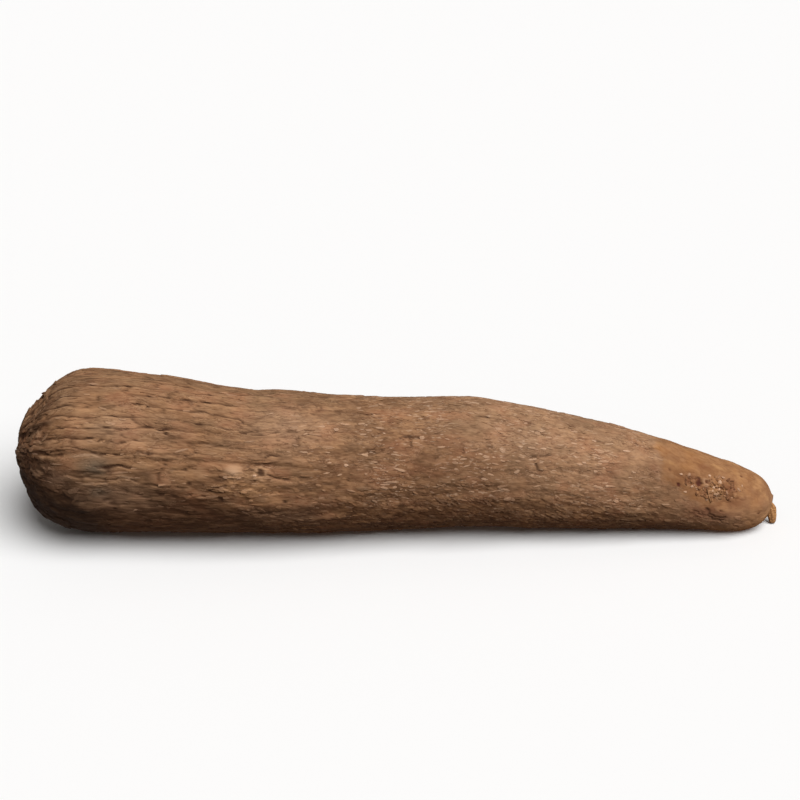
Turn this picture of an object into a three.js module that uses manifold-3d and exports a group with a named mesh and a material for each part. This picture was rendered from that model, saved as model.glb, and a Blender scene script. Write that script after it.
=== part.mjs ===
// A whole pona yam, which is a white yam with bark-like skin: one long tuber, lying on its side.
// Millimetres, +Z up. X runs from the blunt head, at -X, to the tapered tail, at +X.
// The surface that the yam lies on is z = 0, and the origin is on it, below the middle of the yam.
import * as THREE from "three";
import { ImprovedNoise } from "three/addons/math/ImprovedNoise.js";
import { mergeVertices } from "three/addons/utils/BufferGeometryUtils.js";
import Module from "manifold-3d";

// Driving dimensions
const LENGTH = 450; // from the crown of the head to the tip of the tail
const SHOULDER_RADIUS = 48.5; // half the thickness at the shoulder, the thickest place
const WIDER_THAN_TALL = 1.03; // the yam's width over its height
const SETTLE = 1.1; // the underside is this much flatter than round where it bears on the surface

// The body between its two rounded ends. Each station is [share of the length, radius, height of
// the middle, sideways shift], and the last three are shares of the shoulder radius.
const STATIONS = [
  [0.0, 0.98, 1.03, 0.03],
  [0.1, 1.0, 1.0, 0.04],
  [0.18, 0.99, 0.978, 0.0],
  [0.31, 0.897, 0.89, -0.075],
  [0.44, 0.848, 0.84, -0.02],
  [0.53, 0.807, 0.815, 0.03],
  [0.6, 0.788, 0.848, 0.02],
  [0.66, 0.757, 0.77, 0.035],
  [0.74, 0.702, 0.69, 0.02],
  [0.84, 0.572, 0.562, -0.03],
  [0.9265, 0.446, 0.43, -0.075],
  [0.97, 0.4, 0.325, -0.07],
  [1.0, 0.4, 0.31, -0.065],
];
const HEAD_END = 0.108; // share of the length that the rounded head takes
const TAIL_END = 0.0735; // and the rounded tail
const TAIL_ROUNDING = 0.66; // 1 is half an ellipsoid, and less is blunter

// The head slopes back above and is full below. Each row is [degrees round from upright to the
// pole, then the radius above, below and beside], in multiples of a ball's radius there.
const HEAD_SHAPE = [
  [0, 1.0, 1.0, 1.0],
  [16, 1.02, 1.03, 1.01],
  [25, 1.02, 1.1, 1.02],
  [35, 0.96, 1.15, 1.03],
  [45, 0.87, 1.19, 1.04],
  [58, 0.91, 1.18, 1.05],
  [68, 0.98, 1.08, 1.06],
  [80, 1.25, 0.95, 1.1],
  [90, 1.4, 0.85, 1.1],
];

// Skin relief
const SWELL_HEIGHT = 1.5; // broad, soft bumps
const SWELL_LENGTH = 70;
const FURROW_DEPTH = 1.9; // lengthwise furrows between plates of skin
const FURROW_LENGTH = 52; // how far a furrow runs before it bends or stops
const FURROW_WIDTH = 0.42; // share of a plate's half width
const FURROWS_AROUND = 6.6; // noise cells per radian
const KNOB_HEIGHT = 3.4; // corky knobs on the head
const KNOB_SIZE = 11.5;
const CROWN_RADIUS = 17; // the scar where the vine grew from the head
const CROWN_DEPTH = 2.6;
const BARE_GROUND = 4; // relief fades out below this height, so that the yam bears on flat spots

// Sparse marks that the skin carries: [share of the length, degrees round from the front
// towards the top, radius, height]. A height below zero is a pit.
const MARKS = [
  [0.298, 14, 8, 1.6], // a raised bud scar on the front
  [0.33, 23, 4.5, -1.8], // and the crack beside it
  [0.875, 46, 6, -1.0], // the worn patch near the tail
  [0.905, 40, 6, -1.2],
  [0.925, 25, 6, -1.0],
  [0.35, 128, 9, 1.6], // bud scars on the side away from the front
  [0.62, 160, 8, 1.4],
  [0.78, 205, 7, 1.2],
];

// The dried stub at the tip of the tail: its points in x, y and z from the tip, and its radii
const STUB_PATH = [
  [-5, 0.4, 2.2],
  [-0.6, 0, 1.4],
  [1.4, -0.6, -2.2],
  [1.9, -1.1, -6.4],
  [1.2, -1.5, -10.4],
];
const STUB_RADII = [1.9, 2.1, 1.9, 1.6, 0.8];
const STUB_SIDES = 7;

// Mesh
const SEGMENTS = 120; // round the body
const BODY_RINGS = 33;
const HEAD_RINGS = 12; // in the rounded head, the pole included
const TAIL_RINGS = 8; // and in the rounded tail
const HALVE_AT = 44; // degrees round from upright where there are half as many segments
const QUARTER_AT = 74; // and a quarter

const SKIN_COLOUR = 0x8a6749;
const SKIN_ROUGHNESS = 0.92;

const noise = new ImprovedNoise();

// A smooth function through the rows of a table: its first column is the place, and the rest
// are the values there.
function tableOf(rows) {
  const places = rows.map(([place]) => place);
  const values = rows.flatMap(([, ...rest]) => rest);
  const width = rows[0].length - 1;
  return new THREE.CubicInterpolant(places, values, width, new Float32Array(width));
}

const station = tableOf(STATIONS);
const headShape = tableOf(HEAD_SHAPE);

const smooth = (low, high, value) => THREE.MathUtils.smoothstep(value, low, high);

// How rough the skin is: roughest on the head, nearly smooth at the tail.
function roughness(share) {
  return 1.0 - 0.35 * smooth(0.2, 0.5, share) - 0.53 * smooth(0.82, 0.9, share);
}

// Furrows run lengthwise where a stretched noise crosses zero, so they fork, wander and stop.
function furrow(x, theta, cells, seed) {
  const wander = 0.07 * noise.noise(x / 40, 1.5 * theta, seed);
  const angle = theta + wander;
  const value = noise.noise(
    x / FURROW_LENGTH + seed,
    cells * Math.cos(angle),
    cells * Math.sin(angle),
  );
  return Math.max(0, 1 - Math.abs(value) / FURROW_WIDTH);
}

// Height of the skin above the smooth body at one place. tilt is 0 on the body and grows to a
// right angle at the poles; endwards is -1 at the head, 0 on the body and 1 at the tail.
function relief(place, share, theta, tilt, endwards) {
  const { x, y, z } = place;
  const swell = noise.noise(x / SWELL_LENGTH, y / 38 + 5, z / 38 + 5);
  const sides = Math.cos(tilt);
  const furrows =
    furrow(x, theta, FURROWS_AROUND, 2.3) + 0.45 * furrow(x, theta, 1.8 * FURROWS_AROUND, 7.9);
  let height = SWELL_HEIGHT * swell - FURROW_DEPTH * roughness(share) * sides * furrows;
  if (endwards < 0) {
    const knobs = noise.noise(x / KNOB_SIZE, y / KNOB_SIZE, z / KNOB_SIZE);
    const fromPole = SHOULDER_RADIUS * Math.cos(tilt);
    height += KNOB_HEIGHT * Math.sin(tilt) * knobs;
    height -= CROWN_DEPTH * (1 - smooth(0.4 * CROWN_RADIUS, CROWN_RADIUS, fromPole));
  }
  return height;
}

// Adds each mark's bump or pit, by its distance over the skin.
function marks(share, theta, radius) {
  let height = 0;
  for (const [at, degrees, size, rise] of MARKS) {
    const along = (share - at) * LENGTH;
    let turn = theta - (Math.PI - THREE.MathUtils.degToRad(degrees));
    turn = Math.atan2(Math.sin(turn), Math.cos(turn));
    const away = Math.hypot(along, turn * radius) / size;
    height += rise * Math.exp(-2 * away * away);
  }
  return height;
}

// How the radius closes towards a pole, as a share of what it is where the end begins.
function closing({ tilt, endwards }, up) {
  const ball = Math.max(0, Math.cos(tilt));
  if (endwards >= 0) return ball ** TAIL_ROUNDING;
  const [above, below, beside] = headShape.evaluate(THREE.MathUtils.radToDeg(tilt));
  return ball * THREE.MathUtils.lerp(beside, up > 0 ? above : below, up * up);
}

// One point of the skin. theta turns round the body from +Y over the top, so that pi is the front.
function skinPoint(ring, theta) {
  const { share, tilt, endwards } = ring;
  const [radiusShare, heightShare, shiftShare] = station.evaluate(share);
  const across = Math.cos(theta);
  const up = Math.sin(theta);
  const lobes =
    1 + 0.012 * Math.cos(2 * theta + 5 * share) + 0.012 * Math.cos(3 * theta - 9 * share + 1);
  const closed = closing(ring, up);
  const radius = SHOULDER_RADIUS * radiusShare * lobes * closed;
  const settle = SETTLE * Math.cos(tilt) * Math.min(1, radiusShare);
  const place = new THREE.Vector3(
    (share - 0.5) * LENGTH,
    SHOULDER_RADIUS * shiftShare + radius * across * WIDER_THAN_TALL,
    SHOULDER_RADIUS * heightShare - settle + radius * up,
  );
  const outward = new THREE.Vector3(
    endwards * Math.sin(tilt),
    Math.cos(tilt) * across,
    Math.cos(tilt) * up,
  );
  const clear = smooth(0, BARE_GROUND, place.z);
  const height = relief(place, share, theta, tilt, endwards) + marks(share, theta, radius);
  place.addScaledVector(outward, clear * height);
  place.z = Math.max(0, place.z);
  return place;
}

// The rings of one rounded end, from the body to the pole, each with its number of segments.
function endRings(count, endwards) {
  const rings = [];
  for (let i = 1; i <= count; i++) {
    const tilt = ((i / count) * Math.PI) / 2;
    const degrees = THREE.MathUtils.radToDeg(tilt);
    const divide = i === count ? SEGMENTS : degrees > QUARTER_AT ? 4 : degrees > HALVE_AT ? 2 : 1;
    const inset = 1 - Math.sin(tilt);
    const share = endwards < 0 ? HEAD_END * inset : 1 - TAIL_END * inset;
    rings.push({ share, tilt, segments: SEGMENTS / divide, endwards });
  }
  return rings;
}

// All the rings, from the head's pole to the tail's.
function ringList() {
  const body = [];
  for (let i = 0; i < BODY_RINGS; i++) {
    const share = HEAD_END + ((1 - HEAD_END - TAIL_END) * i) / (BODY_RINGS - 1);
    body.push({ share, tilt: 0, segments: SEGMENTS, endwards: 0 });
  }
  return [...endRings(HEAD_RINGS, -1).reverse(), ...body, ...endRings(TAIL_RINGS, 1)];
}

// Triangles between two rings, which have as many segments as each other, or twice as many, or
// one of them is a pole with a single point.
function bridge(faces, a, b) {
  const at = (ring, i) => ring.start + (i % ring.segments);
  const steps = Math.max(a.segments, b.segments);
  for (let i = 0; i < steps; i++) {
    const [aNow, aNext] = [i, i + 1].map((k) => at(a, Math.floor((k * a.segments) / steps)));
    const [bNow, bNext] = [i, i + 1].map((k) => at(b, Math.floor((k * b.segments) / steps)));
    if (aNow !== aNext) faces.push(aNow, aNext, bNow);
    if (bNow !== bNext) faces.push(aNext, bNext, bNow);
  }
}

function geometryOf(points, faces) {
  return new THREE.BufferGeometry().setFromPoints(points).setIndex(faces);
}

function tuberGeometry() {
  const points = [];
  const faces = [];
  const rings = ringList();
  rings.forEach((ring) => {
    ring.start = points.length;
    for (let i = 0; i < ring.segments; i++) {
      points.push(skinPoint(ring, (2 * Math.PI * i) / ring.segments));
    }
  });
  rings.slice(1).forEach((ring, i) => bridge(faces, rings[i], ring));
  return geometryOf(points, faces);
}

// A tapered stub along a path, closed at both ends.
function stubGeometry(path, radii, sides) {
  const curve = new THREE.CatmullRomCurve3(path);
  const frames = curve.computeFrenetFrames(path.length - 1);
  const points = [];
  path.forEach((centre, i) => {
    for (let k = 0; k < sides; k++) {
      const angle = (2 * Math.PI * k) / sides;
      points.push(
        centre
          .clone()
          .addScaledVector(frames.normals[i], radii[i] * Math.cos(angle))
          .addScaledVector(frames.binormals[i], radii[i] * Math.sin(angle)),
      );
    }
  });
  const faces = [];
  for (let i = 1; i < path.length; i++) {
    bridge(faces, { start: (i - 1) * sides, segments: sides }, { start: i * sides, segments: sides });
  }
  const last = (path.length - 1) * sides;
  for (let k = 1; k < sides - 1; k++) {
    faces.push(0, k + 1, k, last, last + k, last + k + 1);
  }
  return geometryOf(points, faces);
}

const wasm = await Module();
wasm.setup();

function solidOf(geometry) {
  const merged = mergeVertices(geometry, 1e-4);
  return new wasm.Manifold(
    new wasm.Mesh({
      numProp: 3,
      vertProperties: merged.attributes.position.array,
      triVerts: new Uint32Array(merged.index.array),
    }),
  );
}

function geometryFrom(solid) {
  const mesh = solid.getMesh();
  const geometry = new THREE.BufferGeometry();
  geometry.setAttribute("position", new THREE.BufferAttribute(mesh.vertProperties, 3));
  geometry.setIndex(new THREE.BufferAttribute(mesh.triVerts, 1));
  geometry.computeVertexNormals();
  return geometry;
}

// The tuber with the stub grown from its tip, in one solid with its middle over the origin
function yamGeometry() {
  const tuber = solidOf(tuberGeometry());
  const tip = skinPoint({ share: 1, tilt: Math.PI / 2, endwards: 1 }, 0);
  const path = STUB_PATH.map((offset) => new THREE.Vector3(...offset).add(tip));
  const stub = solidOf(stubGeometry(path, STUB_RADII, STUB_SIDES));
  const geometry = geometryFrom(tuber.add(stub));
  geometry.computeBoundingBox();
  const middle = geometry.boundingBox.getCenter(new THREE.Vector3());
  return geometry.translate(-middle.x, -middle.y, 0);
}

const skin = new THREE.MeshStandardMaterial({
  color: SKIN_COLOUR,
  roughness: SKIN_ROUGHNESS,
  metalness: 0,
});
const yam = new THREE.Mesh(yamGeometry(), skin);
yam.name = "yam";

const part = new THREE.Group();
part.add(yam);

export default part;
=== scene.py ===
# A whole pona yam: one long tuber with bark-like skin, lying on its side on a pale floor.
# Metres, +Z up. X runs from the blunt head, at -X, to the tapered tail, at +X, and -Y is the front.
# Sizes given in millimetres say so, and MM turns them into metres.
import math
from typing import NamedTuple

import bpy
import numpy as np
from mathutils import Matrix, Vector
from mathutils.bvhtree import BVHTree


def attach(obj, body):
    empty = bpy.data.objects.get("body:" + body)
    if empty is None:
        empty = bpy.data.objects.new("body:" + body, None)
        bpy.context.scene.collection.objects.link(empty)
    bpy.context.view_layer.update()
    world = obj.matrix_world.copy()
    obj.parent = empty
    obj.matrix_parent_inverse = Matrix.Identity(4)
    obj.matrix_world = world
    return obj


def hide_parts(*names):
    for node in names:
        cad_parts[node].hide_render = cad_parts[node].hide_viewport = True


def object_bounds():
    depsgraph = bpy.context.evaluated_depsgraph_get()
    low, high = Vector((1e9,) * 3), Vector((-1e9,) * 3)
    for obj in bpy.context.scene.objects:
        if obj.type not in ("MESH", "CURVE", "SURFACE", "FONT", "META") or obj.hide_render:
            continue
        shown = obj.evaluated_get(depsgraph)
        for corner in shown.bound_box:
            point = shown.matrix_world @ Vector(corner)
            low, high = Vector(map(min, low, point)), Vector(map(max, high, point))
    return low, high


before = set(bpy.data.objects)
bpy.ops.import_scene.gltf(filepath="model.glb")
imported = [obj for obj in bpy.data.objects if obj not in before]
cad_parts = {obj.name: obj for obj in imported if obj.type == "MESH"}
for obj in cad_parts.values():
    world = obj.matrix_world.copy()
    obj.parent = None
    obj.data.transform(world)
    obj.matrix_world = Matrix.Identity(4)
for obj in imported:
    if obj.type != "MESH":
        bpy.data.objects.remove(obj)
CAD_LOW, CAD_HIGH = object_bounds()
LENGTH = CAD_HIGH.x - CAD_LOW.x
MM = 0.001
TURN = 2 * math.pi
FAR = 9.0  # more than any distance here

# Mesh of the skin
SEGMENTS = 448  # points in a ring on the head; other rings have half as many, a quarter and so on
FRONT = math.radians(140)  # the turn from +Y to the side that shows most, where points are closer
FRONT_CLOSER = 0.35
NARROWEST_STEP = 0.36 * MM  # a ring with shorter steps than this gets half as many
MOST_DIVIDED = 32  # times fewer points in a ring, at most
HEAD_RING_STEP = 1.9 * MM
RING_STEP = 1.35 * MM
MARKED = [(-104 * MM, -68 * MM), (-1 * MM, 13 * MM), (75 * MM, 91 * MM), (160 * MM, 199 * MM)]
MARKED_STEP = 0.66  # times the usual step between rings, between these places, where the marks are
HEAD_END = 0.108 * LENGTH  # the length of the rounded head
TAIL_END = 0.0735 * LENGTH  # and of the rounded tail
FACET_BLUR_AROUND = 1.7  # steps that the solid's facets are smoothed by
FACET_BLUR_ALONG = 3.2
FURROW_BLUR = (7, 5)  # the same, where the furrows of the solid are softened
FURROWS_SOFTEN = (0.34, 0.6)  # shares of the length between which that sets in
SPINE_MARGIN = 0.04 * LENGTH  # the ends, where the yam's middle isn't measured
SPINE_PLACES = 60
SPINE_BLUR = 2.5  # of those places

# How many times longer than wide the grain of the skin is, at shares of the length from the head
GRAIN_SHARES = [0, 0.3, 0.55, 0.85, 1]
GRAIN_STRETCH = [2.4, 2.3, 2, 1.5, 1.2]
TWIST_SHARES = [0, 0.42, 0.78, 1]  # how far the grain has turned round the yam, in degrees
TWIST_DEGREES = [0, 0, 8, 8]
GRAIN_SAMPLES = 200

# Plates of bark between lengthwise cracks
ROWS = 40  # of plates, round the yam
PLATE_LENGTH = 27 * MM
CRACK_DEPTH = 0.75 * MM
CRACK_WIDTH = 0.56 * MM
CRACK_RUN = 38 * MM  # a crack stays open about this far
LIP_HEIGHT = 0.2 * MM  # the curled edge of the plate below a crack
LIP_AWAY = 1.3 * MM
LIP_WIDTH = 0.6 * MM
CROSS_CRACK_DEPTH = 0.4 * MM
CROSS_CRACK_WIDTH = 1.1 * MM
PLATE_STEP = 0.3 * MM  # how much one plate lies proud of the next
PLATE_TILT = 0.2 * MM
JOG_LENGTH = 24 * MM  # the cracks jog sideways about this often
JOG_BLOCKS = 12  # round the yam
SHORT_ROWS = 96  # of short, shallow cracks, round the yam
SHORT_CRACK_DEPTH = 0.3 * MM
SHORT_CRACK_WIDTH = 0.55 * MM
SHORT_CRACK_RUN = 8 * MM
FISSURE_DEPTH = 0.25 * MM

# Scales, wrinkles and marks
FOLD_HEIGHT = 0.45 * MM
LUMP_HEIGHT = 0.35 * MM  # of lumps low on the head
SCALE_SIZES = [(5.2 * MM, 0.26 * MM), (2.5 * MM, 0.19 * MM)]  # width and height
SCALE_BEND = 1.1 * MM  # how far their edges stray
FLAKE_SIZE = 7.5  # corky flakes on the head's face, in millimetres
FLAKE_HEIGHT = 1.05 * MM
PALE_LINE_HEIGHT = 0.3 * MM
RING_HEIGHT = 0.4 * MM
BUD_HEIGHT = 0.8 * MM
NUB_HEIGHT = 1.3 * MM
WORN_HEIGHT = 1.1 * MM
EDGE_HEIGHT = 0.2 * MM
STROKE_DEPTH = 0.5 * MM
STROKE_WOBBLE = 0.9 * MM
PIT_DEPTH = 0.7 * MM
RELIEF_SHADING_RANGE = 1.6 * MM  # for the painted relief shading: from the most that counts as a rise over what is near to the most as a dip


class ChipKind(NamedTuple):
    """Loose chips of skin of one kind. Sizes are in millimetres."""

    spacing: float
    length: float
    width: float
    varied: float  # how much their sizes differ
    thickness: float
    lift: float  # of the lower edge
    dome: float  # how much higher the middle is
    slant: float  # degrees that those low on the yam are turned by
    wobble: float  # and that each is turned by at random
    bold: float  # how much they show a colour of their own
    rounded: bool = False  # whether their edges look soft


SCALES = ChipKind(3.2, 4.4, 1.3, 0.3, 0.1, 0.14, 0.08, 22, 12, 0.42)
SLIVERS = ChipKind(4.6, 5.6, 1.2, 0.3, 0.1, 0.12, 0.08, 0, 9, 0.25)
CORKY = ChipKind(4.4, 4.8, 2.8, 0.3, 0.12, 0.3, 0.15, 0, 45, 0.15)
CRUMBS = ChipKind(1.6, 2.2, 1.4, 0.4, 0.1, 0.2, 0.1, 0, 60, 0.7, True)
SEEN = ChipKind(0, 0, 0, 0, 0.15, 0.2, 0.25, 0, 6, 0.8)
LARGEST_CHIP = 1.6  # times the size of its kind
CHIP_CORNERS = 8
CHIP_GAP = 0.75  # between them round the yam, as a share of their spacing
CHIP_ROOT = 0.5 * MM  # how deep they go into the skin

# Where the skin changes, as shares of the length from the head
BARK_FADES = (0.2, 0.38)
FINE_FROM = 0.36  # from here on, rings are closer and have half as many points
SMOOTH_TAIL = (0.828, 0.842)
TAIL_BARK_REACH = 0.095  # how much further the bark reaches underneath
PAINTED_SHADE_SHARES = [0.033, 0.155, 0.28]  # painted shade makes the lower side of the head near black, up to these heights
PAINTED_SHADE_HEIGHTS = [0.15, -0.2, -0.5]  # above the middle
PAINTED_SHADE_UNIT = 45 * MM  # that these are counted in

# Marks, in millimetres. A place is a distance from the middle and how many degrees it lies round
# from the front to the top. A patch is a place, half its length, half its width and its strength.
BUD = ((-92, 11), 17, 9)
BUD_NUB = ((-95, 24), 4, 3.2)
WORN_PATCHES = [((185, 37), 13, 6.5, 1), ((172, 43), 9, 4.5, 0.65)]
RED_PATCHES = [
    ((182, -4), 12, 6, 1.3), ((196, 20), 7, 4.5, 0.5), ((194, 45), 3.5, 5, 0.8),
    ((171, 46), 3, 3, 0.5), ((177, 68), 6, 3, 0.3),
]
SMUDGES = [((-173, 20), 9, 6, 1), ((-172, 2), 7, 4, 1), ((186, 27), 4, 2.5, 0.6)]
# Broad patches of painted shade, where the skin is darkened as though the light fell off sooner
PAINTED_SHADE_PATCHES = [
    ((31, 22), 62, 22, 0.95), ((48, -3), 30, 13, 0.8), ((-28, -2), 18, 8, 0.7),
    ((-206, 42), 12, 12, 0.9), ((156, 34), 24, 12, 0.95), ((-109, 50), 20, 16, 0.4),
]
# Paler patches of skin; the two low on the tail, at (196, -14) and (205, 0), are painted light on its
# underside
PALER_AND_PAINTED_LIGHT = [
    ((-64, 62), 24, 14, 0.3), ((-66, -17), 20, 6, 0.35), ((-199, 10), 9, 5, 0.25),
    ((-162, -4), 20, 10, 0.27), ((-184, -2), 6, 5, 0.25), ((-158, 46), 22, 10, 0.15),
    ((196, -14), 30, 9, 0.26), ((205, 0), 8, 9, 0.16), ((75, 58), 26, 10, 0.15),
]
# The first 13 pits show in the photo
PITS = [
    ((162.5, 33), 1.3, 1.3, 1.2), ((158, 51), 2.4, 1.8, 0.55), ((174.5, 43), 2.1, 3, 1.1),
    ((178.3, 22), 1.1, 0.9, 0.8), ((196, 50), 0.8, 1.5, 0.8), ((195, 31), 0.8, 1.3, 0.8),
    ((188.5, 3), 1.4, 1, 0.9), ((211.5, -12), 0.9, 0.7, 0.8), ((-133, 46), 1.8, 1.2),
    ((-161, 64), 1.4, 1), ((-145, 65), 1.4, 1), ((-110, 88), 1.4, 1), ((-79.5, 33), 1.3, 0.8),
    ((-100, 150), 2.2, 1.6), ((40, 170), 1.9, 1.4), ((120, 200), 1.7, 1.2),
]
# Raised rings round small holes, each a place and a radius
CURLS = [((179.5, 45), 1.8), ((-79.5, 24), 3.1)]
# Single cracks, each a line of places and a half width
STROKES = [
    ([(-76.5, 23), (-71, 20), (-63, 19)], 0.5), ([(-78, 35), (-74, 38), (-70, 37)], 0.45),
    ([(-109, 9), (-105, 7), (-101, 8)], 0.9), ([(0, 53), (5, 54), (11, 53)], 0.75),
    ([(5, 54), (6.5, 46)], 0.75), ([(76, 41), (81, 43), (87, 44)], 0.75),
    ([(77.5, 42), (78, 36), (79.5, 30), (82, 27)], 0.62), ([(-175, 29), (-166, 28), (-158, 29)], 0.8),
    ([(-206, 29), (-199, 27), (-193, 28)], 0.9), ([(179, 5), (182, -2), (185, -9), (191, -7)], 0.7),
    ([(174, -2), (180, -5), (184, -13), (190, -14)], 0.6),
]
PALE_STROKES = [
    ([(-186, 27), (-178, 28), (-171, 27)], 0.7), ([(-182, 8), (-176, 7), (-168, 8)], 0.6),
    ([(-160, 14), (-152, 13)], 0.5),
]
# Chips that show in the photo, each a place, a length, a width and how light it is
SEEN_CHIPS = [
    ((-82.6, 22), 2.4, 1.5, 0.95), ((-99, 20), 3.6, 2, 0.78), ((-96, 13), 3.8, 2.4, 0.74),
    ((-89, 9), 4.2, 2, 0.7), ((-91.5, 20), 3.2, 1.8, 0.8), ((-86, 1), 3.2, 2, 0.7),
    ((-102, 11), 3.2, 1.5, 0.75), ((-152, -13), 3.2, 1.1, 0.85), ((-41, 32), 3, 1.6, 0.86),
    ((-31.5, 30), 3, 1.9, 0.9), ((-9, 57), 2.4, 1.7, 0.95), ((12, 54), 2.8, 1.3, 0.86),
    ((62, 58), 3.4, 1.6, 0.8), ((72.5, 75), 3.2, 1.6, 0.84), ((82, 50), 4, 1.7, 0.88),
    ((106, 41), 2.4, 1.8, 0.86), ((113, 67), 3.4, 1.3, 0.9), ((113.5, 34), 3.4, 1.8, 0.84),
    ((119.5, 20), 2.4, 1.5, 0.92), ((131.5, 63), 5.4, 1.7, 0.95), ((165, 49), 2.8, 1.7, 0.9),
    ((166, 25), 2.4, 1.2, 0.86), ((179, 20), 1.8, 2.4, 0.8), ((181.5, 56), 2, 1.8, 1),
    ((183, 39), 2.6, 1.4, 0.92), ((183.5, 34), 3.4, 1.8, 1), ((185.5, 29), 2.8, 2.2, 0.8),
    ((187.5, 49), 1.8, 2.8, 0.97), ((189.5, 58), 2.6, 1.5, 0.84), ((195, 55), 3.2, 1.1, 0),
    ((196, 40), 1.8, 1.5, 0.05),
]
# The line where the smooth tail starts
TAIL_EDGE = ([(150, 92), (150.5, 70), (149, 46), (151, 30)], 1.8)

# The dried stub at the tip of the tail: its points in x, y and z from its foot and its half widths
# there, in millimetres
STUB_PATH = [(-8, 0.5, 2), (-2.5, 0, 0), (0.4, -1, -4), (1.1, -2, -9), (0.9, -3.2, -13)]
STUB_WIDTHS = [2, 2.4, 2.7, 2.5, 1.6]
STUB_LENGTH = 15 * MM
STUB_FLATNESS = 0.6
STUB_FRAY = 1.6 * MM
STUB_BEYOND = 3.3 * MM  # how far the stub's root is from the end of the box
STUB_DROP = -6.4 * MM  # and how far it is below the middle of the tail's end
STUB_PATH_BLUR = 4
STUB_SIDES = 32
STUB_RINGS = 44
STUB_RIBS = 7

# Camera, set as the photo was taken
CAMERA_ELEVATION = math.radians(30)
CAMERA_DISTANCE = 2.434 * LENGTH
CAMERA_LENS = 81.6
CAMERA_SIDEWAYS = -0.4 * MM
CAMERA_RAISE = 0.1553 * LENGTH  # from the yam's foot to the middle of the picture, up the picture
SENSOR_WIDTH = 36

# Lights: where each comes from, its strength, how many degrees wide it is and its colour
LIGHTS = {
    "key": ((0.36, -0.36, 0.86), 3.25, 50, (1, 1, 1)),
    "sky": ((0, 0, 1), 0.5, 160, (1, 0.96, 0.92)),
    "low": ((0.4, -0.35, -0.85), 0.38, 160, (1, 0.65, 0.4)),
}
BACKDROP = 0.93  # white of the floor and of what is beyond it
FLOOR_REACH = 30 * LENGTH

np.random.seed(7)
PERMUTED = np.random.permutation(256)
SCATTER = np.random.uniform(size=(256, 3))
GRADIENTS = np.random.normal(size=(256, 3))
GRADIENTS /= np.linalg.norm(GRADIENTS, axis=1, keepdims=True)


def lattice(cells, seed):
    """A number from 0 to 255 for each whole-number cell, the same on every run."""
    i, j, k = np.moveaxis(cells & 255, -1, 0)
    return PERMUTED[(PERMUTED[(PERMUTED[(i + seed) & 255] + j) & 255] + k) & 255]


def whole(values):
    return np.floor(values).astype(np.int64)


def chance(a, b, seed):
    """A number from 0 to 1 for each pair of whole numbers."""
    return lattice(np.stack([a, b, np.zeros_like(a)], -1), seed) / 255


def noise(points, seed=0):
    """Smooth noise, mostly from -1 to 1, that changes over a distance of one."""
    cells = whole(points)
    inside = points - cells
    fade = inside**3 * (inside * (inside * 6 - 15) + 10)
    total = 0
    for corner in np.ndindex(2, 2, 2):
        slope = GRADIENTS[lattice(cells + corner, seed)]
        weight = np.where(corner, fade, 1 - fade).prod(-1)
        total += weight * (slope * (inside - corner)).sum(-1)
    return 1.6 * total


def scattered(points, seed):
    """For spots scattered one to a cell: how far the nearest and the next are, the way from the
    nearest, and its own number from 0 to 1."""
    cells = whole(points)
    nearest = np.full(points.shape[:-1], FAR)
    second = nearest.copy()
    number = np.zeros(points.shape[:-1], np.int64)
    way = np.zeros(points.shape)
    for offset in np.ndindex(3, 3, 3):
        cell = cells + offset - 1
        here = lattice(cell, seed)
        step = points - cell - SCATTER[here]
        distance = np.linalg.norm(step, axis=-1)
        nearer = distance < nearest
        second = np.where(nearer, nearest, np.minimum(second, distance))
        number = np.where(nearer, here, number)
        way = np.where(nearer[..., None], step, way)
        nearest = np.where(nearer, distance, nearest)
    return nearest, second, way, number / 255


def another(number, seed):
    """A second number from 0 to 1, worked out from a first."""
    return number * (7.31 + 2.17 * seed) % 1


def ease(low, high, value):
    """0 below low, 1 above high, and smooth between."""
    t = np.clip((value - low) / (high - low), 0, 1)
    return t * t * (3 - 2 * t)


def blurred(field, around, along):
    """A field over the skin, smoothed by that many steps round the yam and along it."""
    for axis, width, mode in ((1, around, "wrap"), (0, along, "edge")):
        if width == 0:
            continue
        reach = math.ceil(3 * width)
        steps = np.arange(-reach, reach + 1)
        weights = np.exp(-0.5 * (steps / width) ** 2)
        margins = [(0, 0), (0, 0)]
        margins[axis] = (reach, reach)
        padded = np.pad(field, margins, mode=mode)
        count = field.shape[axis]
        parts = [w * np.take(padded, range(k, k + count), axis) for k, w in enumerate(weights)]
        field = sum(parts) / weights.sum()
    return field


# The form, read from the solid


def solid_of(node):
    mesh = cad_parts[node].data
    corners = [corner.co for corner in mesh.vertices]
    return BVHTree.FromPolygons(corners, [tuple(face.vertices) for face in mesh.polygons])


def spine_of(solid):
    """The middle of the yam at places along it: x, y and z."""
    spine = []
    for x in np.linspace(CAD_LOW.x + SPINE_MARGIN, CAD_HIGH.x - SPINE_MARGIN, SPINE_PLACES):
        top = solid.ray_cast((x, 0, 1), (0, 0, -1))[0].z
        bottom = solid.ray_cast((x, 0, -1), (0, 0, 1))[0].z
        z = (top + bottom) / 2
        back = solid.ray_cast((x, 1, z), (0, -1, 0))[0].y
        front = solid.ray_cast((x, -1, z), (0, 1, 0))[0].y
        spine.append((x, (back + front) / 2, z))
    spine = np.array(spine)
    y, z = blurred(spine[:, 1:], 0, SPINE_BLUR).T
    return spine[:, 0], y, z


def body_rings(start, end):
    """Places along X for the rings between the head and the tail, closer where there are marks."""
    places = []
    x = start
    while x < end:
        places.append(x)
        step = HEAD_RING_STEP if x < CAD_LOW.x + FINE_FROM * LENGTH else RING_STEP
        if any(low < x < high for low, high in MARKED):
            step *= MARKED_STEP
        x += step
    return places


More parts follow.
